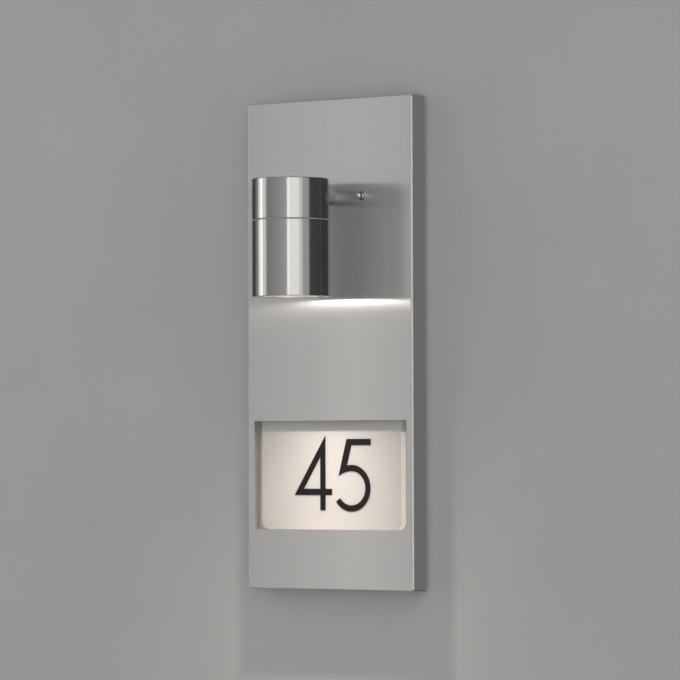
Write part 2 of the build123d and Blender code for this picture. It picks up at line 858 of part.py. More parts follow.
with BuildPart() as earth_screw:
    with BuildSketch(facing(bridge_front - lug_thickness)):
        with Locations((earth_x, earth_rise)):
            Circle(earth_head_radius)
    extrude(amount=screw_head_height)
    with BuildSketch(facing(bridge_front - lug_thickness)):
        with Locations((earth_x, earth_rise)):
            Circle(earth_screw_radius)
    extrude(amount=-lug_thickness - bracket_sheet - screw_tail)
save(earth_screw, "earth_screw")


def corner_radii(points):
    """Largest arc each corner of a wire's route leaves room for."""
    spots = [Vector(*point) for point in points]
    radii = []
    for before, corner, after in zip(spots, spots[1:], spots[2:]):
        turn = radians((corner - before).get_angle(after - corner))
        run = min((corner - before).length, (after - corner).length)
        radii.append(0.45 * run / tan(turn / 2))
    return radii


pole_top = -block_drop
wire_end_z = pole_top - wire_grip
routes = {
    "wire_live": [
        (-pole_spacing, pole_y, wire_end_z),
        (-pole_spacing, pole_y, pole_top + wire_rise),
        (-wire_spread, bridge_front - wire_dip, 0),
        (-wire_spread, nipple_front - wire_reach, 0),
        (-pin_spacing / 2, head_y, wire_crest),
        (-pin_spacing / 2, head_y, contact_top),
    ],
    "wire_neutral": [
        (0, pole_y, wire_end_z),
        (0, pole_y, pole_top + wire_rise),
        (wire_spread, bridge_front - wire_dip, 0),
        (wire_spread, nipple_front - wire_reach, 0),
        (pin_spacing / 2, head_y, wire_crest),
        (pin_spacing / 2, head_y, contact_top),
    ],
    "wire_earth": [
        (earth_x, bridge_front - crimp_radius, earth_rise - lug_tail + crimp_length),
        (earth_x, bridge_front - crimp_radius, earth_rise - lug_tail - wire_rise),
        (pole_spacing, pole_y, pole_top + wire_rise),
        (pole_spacing, pole_y, wire_end_z),
    ],
}

for wire_name, points in routes.items():
    bends = corner_radii(points)
    print(wire_name, "bend radii", [round(bend, 1) for bend in bends])
    with BuildPart() as wire:
        with BuildLine() as route:
            FilletPolyline(*points, radius=bends)
        with BuildSketch(route.line ^ 0):
            Circle(wire_radius)
        sweep()
    share = wire.part.volume / (pi * wire_radius**2 * route.wires()[0].length)
    print(wire_name, "volume over section times length", round(share, 4))
    save(wire, wire_name)
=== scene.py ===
import json
import math

import bpy
from mathutils import Matrix, Vector

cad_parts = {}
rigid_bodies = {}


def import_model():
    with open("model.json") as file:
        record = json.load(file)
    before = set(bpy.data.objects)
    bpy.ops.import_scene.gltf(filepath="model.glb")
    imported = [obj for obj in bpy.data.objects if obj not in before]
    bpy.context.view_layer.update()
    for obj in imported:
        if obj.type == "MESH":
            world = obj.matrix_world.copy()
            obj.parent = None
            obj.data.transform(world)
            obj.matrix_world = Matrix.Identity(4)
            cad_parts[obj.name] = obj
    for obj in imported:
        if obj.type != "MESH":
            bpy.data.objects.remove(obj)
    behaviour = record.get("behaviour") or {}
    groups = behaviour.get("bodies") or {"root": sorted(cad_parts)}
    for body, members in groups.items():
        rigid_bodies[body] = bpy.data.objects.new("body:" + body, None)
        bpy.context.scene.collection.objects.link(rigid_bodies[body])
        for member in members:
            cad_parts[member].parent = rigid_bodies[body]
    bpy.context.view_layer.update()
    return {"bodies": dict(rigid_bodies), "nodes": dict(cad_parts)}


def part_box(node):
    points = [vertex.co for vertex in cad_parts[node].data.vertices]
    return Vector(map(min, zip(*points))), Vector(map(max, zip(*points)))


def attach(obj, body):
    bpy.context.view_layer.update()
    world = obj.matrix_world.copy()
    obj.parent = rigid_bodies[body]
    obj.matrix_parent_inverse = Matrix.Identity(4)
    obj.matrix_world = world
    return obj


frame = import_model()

nodes = frame["nodes"]
bodies = frame["bodies"]

# ------------------------------------------------------------------ camera
# The photograph was taken with a long lens from three metres, 36 degrees to the right of the plate's front
# and a little below the lamp head. So the sign's right side shows, and its top and underside don't.
picture_size = 680
focal_pixels = 4016
sensor_width = 36.0
far_limit = 50.0
camera_place = Vector((1.86167, -2.56692, -0.19899))
camera_yaw = math.radians(36.006)
camera_pitch = math.radians(1.576)
camera_roll = math.radians(-0.199)

camera_data = bpy.data.cameras.new("camera")
camera_data.sensor_width = sensor_width
camera_data.lens = sensor_width * focal_pixels / picture_size
camera_data.clip_end = far_limit
camera = bpy.data.objects.new("camera", camera_data)
camera.matrix_world = (
    Matrix.Translation(camera_place)
    @ Matrix.Rotation(camera_yaw, 4, "Z")
    @ Matrix.Rotation(math.pi / 2 + camera_pitch, 4, "X")
    @ Matrix.Rotation(camera_roll, 4, "Z")
)
bpy.context.scene.collection.objects.link(camera)
bpy.context.scene.camera = camera
bpy.context.scene.view_settings.view_transform = "Standard"


# ------------------------------------------------------------------ wall and floor
# A plain matt wall for the sign to hang on, and a pale floor far below it. Neither is part of the object.
# The wall shows from the front only and is open behind the cover, so that the sign's back can be seen and is
# lit. The floor shows from above only.
def colour(code):
    """An sRGB hex colour as the linear values that shaders take, by the sRGB standard's own curve."""
    channels = [int(code[i : i + 2], 16) / 255 for i in (1, 3, 5)]
    return [c / 12.92 if c <= 0.04045 else ((c + 0.055) / 1.055) ** 2.4 for c in channels] + [1.0]


def add(tree, kind, inputs=None, **settings):
    """Adds one node. Settings are its properties, and inputs are values to set or sockets to link.

    A socket goes by its name, or by its number where names repeat: a Mix node takes its factor at 0 and its
    two colours at 6 and 7, and gives the result at 2.
    """
    made = tree.nodes.new(kind)
    for name, value in settings.items():
        setattr(made, name, value)
    for name, value in (inputs or {}).items():
        if isinstance(value, bpy.types.NodeSocket):
            tree.links.new(value, made.inputs[name])
        else:
            made.inputs[name].default_value = value
    return made


def new_material(name):
    """An empty node material and its tree."""
    made = bpy.data.materials.new(name)
    made.use_nodes = True
    made.node_tree.nodes.clear()
    return made, made.node_tree


def front_only(tree, surface):
    """Ends a material with a surface that is clear from behind."""
    behind = add(tree, "ShaderNodeNewGeometry")
    clear = add(tree, "ShaderNodeBsdfTransparent")
    seen = add(tree, "ShaderNodeMixShader",
               {0: behind.outputs["Backfacing"], 1: surface.outputs[0], 2: clear.outputs[0]})
    add(tree, "ShaderNodeOutputMaterial", {"Surface": seen.outputs[0]})


def upright(start, end, bottom, top, y=0.0):
    """The corners of an upright rectangle that runs from start to end along X."""
    return [(start, y, bottom), (end, y, bottom), (end, y, top), (start, y, top)]


def backdrop(name, corners, material, faces=((0, 1, 2, 3),)):
    """A flat thing that isn't part of the object."""
    mesh = bpy.data.meshes.new(name)
    mesh.from_pydata(corners, [], faces)
    mesh.materials.append(material)
    made = bpy.data.objects.new(name, mesh)
    bpy.context.scene.collection.objects.link(made)
    return made


wall_half = 1.6
wall_top = 1.3
wall_setback = 0.0004        # behind y = 0, where the bracket's back is
floor_z = -0.8
floor_front = -3.2
floor_back = 1.2

wall_paint, tree = new_material("matt wall paint")
coords = add(tree, "ShaderNodeTexCoord")
# Roller marks about 110 mm across.
roller_marks = 0.11
mottle = add(tree, "ShaderNodeTexNoise",
             {"Vector": coords.outputs["Object"], "Scale": 1 / roller_marks, "Detail": 3.0})
shade = add(tree, "ShaderNodeMix", {0: mottle.outputs["Fac"], 6: colour("#BBBBBA"), 7: colour("#C3C3C2")},
            data_type="RGBA")
paint = add(tree, "ShaderNodeBsdfDiffuse", {"Color": shade.outputs[2]})
front_only(tree, paint)

# The opening is a little smaller than the cover, so the wall still shows close up to its sides.
hole_margin = 0.006
cover_low, cover_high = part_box("front_cover")
hole_side = cover_high[0] - hole_margin
hole_bottom = cover_low[2] + hole_margin
hole_top = cover_high[2] - hole_margin
wall = backdrop(
    "wall",
    upright(-wall_half, wall_half, floor_z, wall_top) + upright(-hole_side, hole_side, hole_bottom, hole_top),
    wall_paint,
    ((0, 1, 5, 4), (1, 2, 6, 5), (2, 3, 7, 6), (3, 0, 4, 7)),
)
wall.location.y = wall_setback
wall.visible_shadow = False
wall.visible_diffuse = False

floor_paint, tree = new_material("pale floor")
paint = add(tree, "ShaderNodeBsdfDiffuse", {"Color": colour("#D9D8D5")})
front_only(tree, paint)
backdrop(
    "ground",
    [(-wall_half, floor_front, floor_z), (wall_half, floor_front, floor_z),
     (wall_half, floor_back, floor_z), (-wall_half, floor_back, floor_z)],
    floor_paint,
)


# ------------------------------------------------------------------ studio light
# Soft, nearly neutral light in a grey room that is a little darker on the left. Upright strips stand round
# the head and draw the bands down it: a narrow bright one on the left, a wide one on the right. The cover has
# strips of its own, for its face and its two long folds.
room_left = 0.29
room_right = 0.50
room = bpy.data.worlds.new("grey room")
room.use_nodes = True
bpy.context.scene.world = room
tree = room.node_tree
tree.nodes.clear()
coords = add(tree, "ShaderNodeTexCoord")
direction = add(tree, "ShaderNodeSeparateXYZ", {0: coords.outputs["Generated"]})
level = add(tree, "ShaderNodeMapRange",
            {"Value": direction.outputs[0], "From Min": -0.6, "From Max": 0.36, "To Min": room_left,
             "To Max": room_right})
grey = add(tree, "ShaderNodeBackground", {"Color": colour("#F6F7F8"), "Strength": level.outputs[0]})
add(tree, "ShaderNodeOutputWorld", {"Surface": grey.outputs[0]})

housing_low, housing_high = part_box("upper_housing")
head_axis_y = (housing_low[1] + housing_high[1]) / 2
strip_height = 2.2
strip_middle = 0.1
strip_tint = "#FFFFFD"


def area_light(name, width, height, radiance, tint, shape="RECTANGLE"):
    """An area light of an even radiance, which the camera doesn't see."""
    data = bpy.data.lights.new(name, "AREA")
    data.shape = shape
    data.size = width
    data.size_y = height
    area = width * height * (math.pi / 4 if shape == "DISK" else 1)
    data.energy = radiance * math.pi * area
    data.color = colour(tint)[:3]
    made = bpy.data.objects.new(name, data)
    made.visible_camera = False
    bpy.context.scene.collection.objects.link(made)
    return made


def soft_strip(name, start, end, distance, radiance):
    """A strip that fills the view from the head's axis between two angles to the right of front."""
    width = 2 * distance * math.tan(math.radians(end - start) / 2)
    made = area_light(name, width, strip_height, radiance, strip_tint)
    turn = math.radians(start + end) / 2
    made.location = (distance * math.sin(turn), head_axis_y - distance * math.cos(turn), strip_middle)
    made.rotation_euler = (math.pi / 2, 0, turn)
    return made


def light_link(lights, state, names):
    """Makes lights reach the named nodes alone, with INCLUDE, or everything but them, with EXCLUDE."""
    group = bpy.data.collections.new(f"{state} {names[0]}")
    for name in names:
        group.objects.link(nodes[name])
    for member in group.collection_objects:
        member.light_linking.link_state = state
    for light in lights:
        light.light_linking.receiver_collection = group


# Each strip's name, the degrees between which it stands, its distance in metres and its radiance.
head_strips = [
    ("left_far", -76, -64, 1.5, 0.85),
    ("left_core", -64, -58, 1.5, 2.0),
    ("left_near", -58, -42, 1.5, 0.6),
    ("right_edge", 26, 31, 1.5, 1.25),
    ("right_middle", 31, 61, 1.5, 0.72),
    ("right_fall", 61, 71, 1.5, 0.4),
]
cover_strips = [
    ("cover_face", -60, -36, 1.5, 0.1),
    ("cover_near", -34, -26, 0.25, 2.7),
    ("cover_left_fold", -100, -80, 1.2, 2.5),
    ("cover_right_fold", 60, 84, 1.2, 2.0),
]
light_link([soft_strip(*strip) for strip in head_strips],
           "EXCLUDE", ["front_cover", "number_panel", "digit_4", "digit_5", "panel_carrier"])
light_link([soft_strip(*strip) for strip in cover_strips], "INCLUDE", ["front_cover"])


# ------------------------------------------------------------------ flags for painted shade in reflections
# Grey sheets hang in front of the wall at both sides: painted shade, seen in reflections only, for the wall
# near the sign, which lies in shade. They give the polished edges something dark to show and throw no shadow.
def hang_shade_sheet(name, corners, cloth):
    """A grey sheet that shows in reflections only, as painted shade."""
    made = backdrop(name, corners, cloth)
    made.visible_camera = False
    made.visible_diffuse = False
    made.visible_shadow = False


reflected_shade_grey = "#606060"
flag_gap = 0.001
flag_inner = 0.081
flag_outer = 1.5
flag_bottom = -0.7
flag_top = 1.0
reflected_shade_sheet, tree = new_material("grey sheet for painted reflected shade")
cloth = add(tree, "ShaderNodeBsdfDiffuse", {"Color": colour(reflected_shade_grey)})
add(tree, "ShaderNodeOutputMaterial", {"Surface": cloth.outputs[0]})
for name, side in (("shade_sheet_left", -1), ("shade_sheet_right", 1)):
    corners = upright(side * flag_inner, side * flag_outer, flag_bottom, flag_top, -flag_gap)
    hang_shade_sheet(name, corners, reflected_shade_sheet)

# A third grey sheet, clear from behind, hangs close to the plate at the right of the head, as painted shade
# in
# reflections: the head's right edge then shows a dark plate, while the plate itself shows what is in front of
# it.
card_gap = 0.0004
card_left = 0.026
card_right = 0.078
card_bottom = -0.11
reflected_shade_one_way, tree = new_material("grey sheet for painted reflected shade, clear from behind")
cloth = add(tree, "ShaderNodeBsdfDiffuse", {"Color": colour(reflected_shade_grey)})
front_only(tree, cloth)
hang_shade_sheet("shade_sheet_plate", upright(card_left, card_right, card_bottom, cover_high[2], cover_low[1] - card_gap),
          reflected_shade_one_way)

# ------------------------------------------------------------------ lamp light
# The lamp's own light, warm white: a reflector beam that falls off fast from its axis and fills the number
# window. It starts just under the glass. It and the next two lights go with the barrel.
lamp_tint = "#FFF3E9"
beam_power = 8.3
beam_angle = 130.0
beam_blend = 0.3
beam_softness = 0.008
beam_sharpness = 10.0
beam_forward = 0.012
beam_drop = 0.0003
glass_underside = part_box("front_glass")[0][2]
beam_data = bpy.data.lights.new("lamp_beam", "SPOT")
beam_data.energy = beam_power
beam_data.spot_size = math.radians(beam_angle)
beam_data.spot_blend = beam_blend
beam_data.shadow_soft_size = beam_softness
beam_data.use_nodes = True
tree = beam_data.node_tree
tree.nodes.clear()
coords = add(tree, "ShaderNodeTexCoord")
direction = add(tree, "ShaderNodeSeparateXYZ", {0: coords.outputs["Normal"]})
off_axis = add(tree, "ShaderNodeMath", {0: direction.outputs[2]}, operation="ABSOLUTE")
lobe = add(tree, "ShaderNodeMath", {0: off_axis.outputs[0], 1: beam_sharpness}, operation="POWER")
glow = add(tree, "ShaderNodeEmission", {"Color": colour(lamp_tint), "Strength": lobe.outputs[0]})
add(tree, "ShaderNodeOutputLight", {"Surface": glow.outputs[0]})
beam = bpy.data.objects.new("lamp_beam", beam_data)
beam.location = (0, head_axis_y - beam_forward, glass_underside - beam_drop)
bpy.context.scene.collection.objects.link(beam)

# What the glass itself throws on the plate, past the edge of the rim.
spill_radius = 0.024
spill_radiance = 26.0
spill_drop = 0.0025
spill = area_light("glass_spill", 2 * spill_radius, 2 * spill_radius, spill_radiance, lamp_tint, "DISK")
spill.location = (0, head_axis_y, glass_underside - spill_drop)

# The plate scatters some of that light along itself, as a faint column under the head. An upright light in
# front of the plate, for the cover alone, stands for it.
column_width = 0.02
column_height = 0.42
column_radiance = 0.3
column = area_light("plate_glow", column_width, column_height, column_radiance, lamp_tint)
column.location = (0, head_axis_y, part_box("barrel_tube")[0][2] - column_height / 2)
column.rotation_euler = (math.pi / 2, 0, 0)
light_link([spill, column], "INCLUDE", ["front_cover"])
for light in (beam, spill, column):
    light.parent = bodies["barrel"]


# ------------------------------------------------------------------ cover
# The cover is 1 mm stainless sheet, brushed upright with a belt, then folded. Across the brushing a highlight
# spreads wide and along it stays narrow, so the head's mirror image is smeared sideways.
def dress(names, material):
    """Gives CAD nodes one material."""
    for name in names:
        for slot in nodes[name].material_slots:
            slot.material = material


brushed_sheet, tree = new_material("stainless sheet brushed upright")
coords = add(tree, "ShaderNodeTexCoord")
# Belt lines are about 0.1 mm wide. They are drawn 0.8 mm wide and 90 mm long, to show at all.
line_width = 0.0008
line_length = 0.09
lines_map = add(tree, "ShaderNodeMapping",
                {"Vector": coords.outputs["Object"],
                 "Scale": (1 / line_width, 1 / line_width, 1 / line_length)})
lines = add(tree, "ShaderNodeTexNoise", {"Vector": lines_map.outputs[0], "Scale": 1.0, "Detail": 4.0})
# Slow changes of tone, 12 mm across and 160 mm tall, where the belt pressed more or less.
band_width = 0.012
band_length = 0.16
bands_map = add(tree, "ShaderNodeMapping",
                {"Vector": coords.outputs["Object"],
                 "Scale": (1 / band_width, 1 / band_width, 1 / band_length)})
bands = add(tree, "ShaderNodeTexNoise", {"Vector": bands_map.outputs[0], "Scale": 1.0, "Detail": 2.0})
tone = add(tree, "ShaderNodeMix", {0: bands.outputs["Fac"], 6: colour("#C8C7C5"), 7: colour("#CDCCCA")},
           data_type="RGBA")
rough = add(tree, "ShaderNodeMapRange", {"Value": lines.outputs["Fac"], "To Min": 0.30, "To Max": 0.33})
relief = add(tree, "ShaderNodeBump",
             {"Height": lines.outputs["Fac"], "Strength": 0.01, "Distance": 0.00004})
across = add(tree, "ShaderNodeTangent", direction_type="RADIAL", axis="Z")
steel = add(tree, "ShaderNodeBsdfPrincipled",
            {"Base Color": tone.outputs[2], "Metallic": 1.0, "Roughness": rough.outputs[0],
             "Anisotropic": 1.0, "Tangent": across.outputs[0], "Normal": relief.outputs[0]})
add(tree, "ShaderNodeOutputMaterial", {"Surface": steel.outputs[0]})
dress(["front_cover"], brushed_sheet)

# ------------------------------------------------------------------ panel carrier
# A folded trough of plain mill-finish steel sheet behind the window, duller and browner than the cover. Four
# welded studs with nuts hold it to the cover's back.
mill_steel, tree = new_material("mill finish steel")
coords = add(tree, "ShaderNodeTexCoord")
# Rolling leaves a cloudy tone, about 17 mm across.
cloud_size = 0.017
cloud = add(tree, "ShaderNodeTexNoise",
            {"Vector": coords.outputs["Object"], "Scale": 1 / cloud_size, "Detail": 4.0})
tone = add(tree, "ShaderNodeMix", {0: cloud.outputs["Fac"], 6: colour("#C8C0B3"), 7: colour("#D6CEC2")},
           data_type="RGBA")
rough = add(tree, "ShaderNodeMapRange", {"Value": cloud.outputs["Fac"], "To Min": 0.35, "To Max": 0.45})
steel = add(tree, "ShaderNodeBsdfPrincipled",
            {"Base Color": tone.outputs[2], "Metallic": 0.5, "Roughness": rough.outputs[0]})
add(tree, "ShaderNodeOutputMaterial", {"Surface": steel.outputs[0]})
dress(["panel_carrier"], mill_steel)

# ------------------------------------------------------------------ number panel
# Opal acrylic sheet, sawn, with rounded corners and flame-polished edges. It is glossy and slightly milky,
# and lets enough light through that it casts no shadow on the trough behind it.
opal, tree = new_material("opal acrylic")
coords = add(tree, "ShaderNodeTexCoord")
# The casting's milkiness changes slowly, over 70 mm.
milk_size = 0.07
milk = add(tree, "ShaderNodeTexNoise",
           {"Vector": coords.outputs["Object"], "Scale": 1 / milk_size, "Detail": 2.0})
tone = add(tree, "ShaderNodeMix", {0: milk.outputs["Fac"], 6: colour("#EFEBE6"), 7: colour("#F5F2EE")},
           data_type="RGBA")
# Painted glow on the polished edges: an emission that stands in for light the face lets out there. It is
# weaker in the top 16 mm, as painted shade, where the window's upper edge shades the sheet.
painted_edge_glow = 0.36
painted_edge_glow_in_shade = 0.07
shaded_height = 0.016
shade_softness = 0.001
shade_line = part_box("number_panel")[1][2] - shaded_height
facing = add(tree, "ShaderNodeSeparateXYZ", {0: coords.outputs["Normal"]})
sideways = add(tree, "ShaderNodeMath", {0: facing.outputs[0]}, operation="ABSOLUTE")
on_edge = add(tree, "ShaderNodeMapRange", {"Value": sideways.outputs[0], "From Min": 0.2, "From Max": 0.8})
place = add(tree, "ShaderNodeSeparateXYZ", {0: coords.outputs["Object"]})
painted_glow_by_height = add(tree, "ShaderNodeMapRange",
             {"Value": place.outputs[2], "From Min": shade_line - shade_softness,
              "From Max": shade_line + shade_softness, "To Min": painted_edge_glow, "To Max": painted_edge_glow_in_shade})
painted_edge_light = add(tree, "ShaderNodeMath",
                 {0: on_edge.outputs[0], 1: painted_glow_by_height.outputs[0]}, operation="MULTIPLY")
# The edges' emission is painted light: a glow, and painted shade near the top.
acrylic = add(tree, "ShaderNodeBsdfPrincipled",
              {"Base Color": tone.outputs[2], "Roughness": 0.35, "IOR": 1.49, "Subsurface Weight": 0.8,
               "Subsurface Scale": 0.004, "Subsurface Radius": (1.0, 0.9, 0.8), "Coat Weight": 0.3,
               "Coat Roughness": 0.12, "Emission Color": colour("#FFF6EC"),
               "Emission Strength": painted_edge_light.outputs[0]})
add(tree, "ShaderNodeOutputMaterial", {"Surface": acrylic.outputs[0]})
dress(["number_panel"], opal)
nodes["number_panel"].visible_shadow = False

# ------------------------------------------------------------------ digits
# The digits are cut from matt black film and stuck on the panel. The film swallows highlights, and only a
# faint grain is left.
film, tree = new_material("matt black film")
coords = add(tree, "ShaderNodeTexCoord")
# The film's grain is about 0.1 mm. It is drawn 1.1 mm wide.
film_grain = 0.0011
grain = add(tree, "ShaderNodeTexNoise",
            {"Vector": coords.outputs["Object"], "Scale": 1 / film_grain, "Detail": 2.0})
relief = add(tree, "ShaderNodeBump",
             {"Height": grain.outputs["Fac"], "Strength": 0.15, "Distance": 0.00005})
black = add(tree, "ShaderNodeBsdfPrincipled",
            {"Base Color": colour("#101112"), "Roughness": 0.6, "IOR": 1.5, "Normal": relief.outputs[0]})
add(tree, "ShaderNodeOutputMaterial", {"Surface": black.outputs[0]})
dress(["digit_4", "digit_5"], film)

# ------------------------------------------------------------------ foam tape
# Two strips of white polyethylene foam, closed cell, sticky on both sides. They hold the number panel to
# its carrier.
foam, tree = new_material("white foam tape")
coords = add(tree, "ShaderNodeTexCoord")
# Cells of the foam, 0.55 mm across.
cell_size = 0.00055
cells = add(tree, "ShaderNodeTexVoronoi", {"Vector": coords.outputs["Object"], "Scale": 1 / cell_size})
relief = add(tree, "ShaderNodeBump",
             {"Height": cells.outputs["Distance"], "Strength": 0.4, "Distance": 0.0002})
white = add(tree, "ShaderNodeBsdfPrincipled",
            {"Base Color": colour("#E6E5E0"), "Roughness": 0.8, "Normal": relief.outputs[0]})
add(tree, "ShaderNodeOutputMaterial", {"Surface": white.outputs[0]})
dress(["panel_tape"], foam)

# ------------------------------------------------------------------ cap nuts
# Chromed brass dome nuts on thin chromed washers: small mirrors of the room. They screw onto the bracket's
# studs from the front and hold the cover.
chrome, tree = new_material("bright chrome")
coords = add(tree, "ShaderNodeTexCoord")
# Polishing haze in patches 1.4 mm across.
haze_size = 0.0014
haze = add(tree, "ShaderNodeTexNoise",
           {"Vector": coords.outputs["Object"], "Scale": 1 / haze_size, "Detail": 3.0})
rough = add(tree, "ShaderNodeMapRange", {"Value": haze.outputs["Fac"], "To Min": 0.03, "To Max": 0.10})
mirror = add(tree, "ShaderNodeBsdfPrincipled",
             {"Base Color": colour("#E2E1DE"), "Metallic": 1.0, "Roughness": rough.outputs[0]})
add(tree, "ShaderNodeOutputMaterial", {"Surface": mirror.outputs[0]})
dress(["cap_nuts", "cap_nut_washers"], chrome)

# ------------------------------------------------------------------ zinc-plated pieces
# Bracket, studs, nuts and screws are bright zinc-plated steel: bluish, with a faint iridescent mottle. The
# lamp's pins are nickel-plated and look the same.
zinc, tree = new_material("bright zinc plate")
coords = add(tree, "ShaderNodeTexCoord")
# Patches of the plating's tone, 7 mm across.
plating_patch = 0.007
mottle = add(tree, "ShaderNodeTexNoise",
             {"Vector": coords.outputs["Object"], "Scale": 1 / plating_patch, "Detail": 5.0})
tone = add(tree, "ShaderNodeMix", {0: mottle.outputs["Fac"], 6: colour("#A9AEB5"), 7: colour("#C6C7C2")},
           data_type="RGBA")
rough = add(tree, "ShaderNodeMapRange", {"Value": mottle.outputs["Fac"], "To Min": 0.22, "To Max": 0.42})
plate = add(tree, "ShaderNodeBsdfPrincipled",
            {"Base Color": tone.outputs[2], "Metallic": 1.0, "Roughness": rough.outputs[0]})
add(tree, "ShaderNodeOutputMaterial", {"Surface": plate.outputs[0]})
dress(["wall_bracket", "bracket_studs", "stop_nuts", "carrier_studs", "carrier_nuts", "terminal_screws",
       "block_fixing_screw", "earth_screw", "arm_nipple", "cover_nut", "housing_nut", "holder_strap",
       "strap_screws", "holder_screws", "lamp_pins"], zinc)

# ------------------------------------------------------------------ spring pieces
# The lock washer behind the cover and the snap ring over the glass are spring steel, hardened and oiled, so
# they are dark with a soft gloss. The ring sits in the barrel's groove.
spring, tree = new_material("oiled spring steel")
coords = add(tree, "ShaderNodeTexCoord")
# The oil lies in films about 3 mm across.
oil_patch = 0.003
mottle = add(tree, "ShaderNodeTexNoise",
             {"Vector": coords.outputs["Object"], "Scale": 1 / oil_patch, "Detail": 3.0})
rough = add(tree, "ShaderNodeMapRange", {"Value": mottle.outputs["Fac"], "To Min": 0.25, "To Max": 0.4})
dark = add(tree, "ShaderNodeBsdfPrincipled",
           {"Base Color": colour("#6E6E70"), "Metallic": 1.0, "Roughness": rough.outputs[0]})
add(tree, "ShaderNodeOutputMaterial", {"Surface": dark.outputs[0]})
dress(["arm_lock_washer", "glass_ring"], spring)

# ------------------------------------------------------------------ arm
# Stainless tube, 14 mm across, coped to the head and polished along its length. A hollow thread through it
# clamps plate, arm and head together.
tube_polish, tree = new_material("polished stainless tube")
coords = add(tree, "ShaderNodeTexCoord")
# Polishing lines are under 0.1 mm wide. They are drawn 0.7 mm wide and 17 mm long.
line_width = 0.0007
line_length = 0.017
lines_map = add(tree, "ShaderNodeMapping",
                {"Vector": coords.outputs["Object"],
                 "Scale": (1 / line_width, 1 / line_length, 1 / line_width)})
lines = add(tree, "ShaderNodeTexNoise", {"Vector": lines_map.outputs[0], "Scale": 1.0, "Detail": 3.0})
rough = add(tree, "ShaderNodeMapRange", {"Value": lines.outputs["Fac"], "To Min": 0.16, "To Max": 0.28})
steel = add(tree, "ShaderNodeBsdfPrincipled",
            {"Base Color": colour("#C4C3C1"), "Metallic": 1.0, "Roughness": rough.outputs[0]})
add(tree, "ShaderNodeOutputMaterial", {"Surface": steel.outputs[0]})
dress(["arm_tube"], tube_polish)

# ------------------------------------------------------------------ lamp head
# Housing and barrel are stainless tube turned against a fine abrasive, so the lines run round them and each
# light stands as a sharp upright band.
turned_steel, tree = new_material("stainless tube brushed round")
coords = add(tree, "ShaderNodeTexCoord")
# Turning marks are about 0.05 mm apart. They are drawn 0.5 mm apart.
mark_pitch = 0.0005
mark_length = 0.08
marks_map = add(tree, "ShaderNodeMapping",
                {"Vector": coords.outputs["Object"],
                 "Scale": (1 / mark_length, 1 / mark_length, 1 / mark_pitch)})
marks = add(tree, "ShaderNodeTexNoise", {"Vector": marks_map.outputs[0], "Scale": 1.0, "Detail": 3.0})
rough = add(tree, "ShaderNodeMapRange", {"Value": marks.outputs["Fac"], "To Min": 0.15, "To Max": 0.23})
tone = add(tree, "ShaderNodeMix", {0: marks.outputs["Fac"], 6: colour("#C6C4C2"), 7: colour("#CECDCB")},
           data_type="RGBA")
round_it = add(tree, "ShaderNodeTangent", direction_type="RADIAL", axis="Z")
steel = add(tree, "ShaderNodeBsdfPrincipled",
            {"Base Color": tone.outputs[2], "Metallic": 1.0, "Roughness": rough.outputs[0],
             "Anisotropic": 0.8, "Anisotropic Rotation": 0.25, "Tangent": round_it.outputs[0]})
add(tree, "ShaderNodeOutputMaterial", {"Surface": steel.outputs[0]})
dress(["upper_housing", "barrel_tube"], turned_steel)

# ------------------------------------------------------------------ collar and saddle washer
# Turned aluminium, satin. The collar is pressed into the housing, and its thread shows when the barrel is
# off. The saddle washer lies between the housing's round wall and its nut.
alloy, tree = new_material("turned aluminium")
coords = add(tree, "ShaderNodeTexCoord")
# The tool left marks 0.1 mm apart, which are drawn 0.4 mm apart and run 50 mm round the piece.
mark_pitch = 0.0004
mark_length = 0.05
marks_map = add(tree, "ShaderNodeMapping",
                {"Vector": coords.outputs["Object"],
                 "Scale": (1 / mark_length, 1 / mark_length, 1 / mark_pitch)})
marks = add(tree, "ShaderNodeTexNoise", {"Vector": marks_map.outputs[0], "Scale": 1.0, "Detail": 2.0})
rough = add(tree, "ShaderNodeMapRange", {"Value": marks.outputs["Fac"], "To Min": 0.26, "To Max": 0.38})
metal = add(tree, "ShaderNodeBsdfPrincipled",
            {"Base Color": colour("#D0D2D4"), "Metallic": 1.0, "Roughness": rough.outputs[0]})
add(tree, "ShaderNodeOutputMaterial", {"Surface": metal.outputs[0]})
dress(["threaded_collar", "saddle_washer"], alloy)

# ------------------------------------------------------------------ rubber rings
# The seal under the glass is black silicone rubber, the gasket in the head's joint light grey. Both are
# moulded rings, matt and a little dusty.
# Silicone's bloom lies in patches 2.5 mm across.
bloom_size = 0.0025
silicone, tree = new_material("black silicone rubber")
coords = add(tree, "ShaderNodeTexCoord")
bloom = add(tree, "ShaderNodeTexNoise",
            {"Vector": coords.outputs["Object"], "Scale": 1 / bloom_size, "Detail": 3.0})
tone = add(tree, "ShaderNodeMix", {0: bloom.outputs["Fac"], 6: colour("#1A1A1B"), 7: colour("#2A2A2B")},
           data_type="RGBA")
rubber = add(tree, "ShaderNodeBsdfPrincipled",
             {"Base Color": tone.outputs[2], "Roughness": 0.6, "IOR": 1.43})
add(tree, "ShaderNodeOutputMaterial", {"Surface": rubber.outputs[0]})
dress(["glass_seal"], silicone)

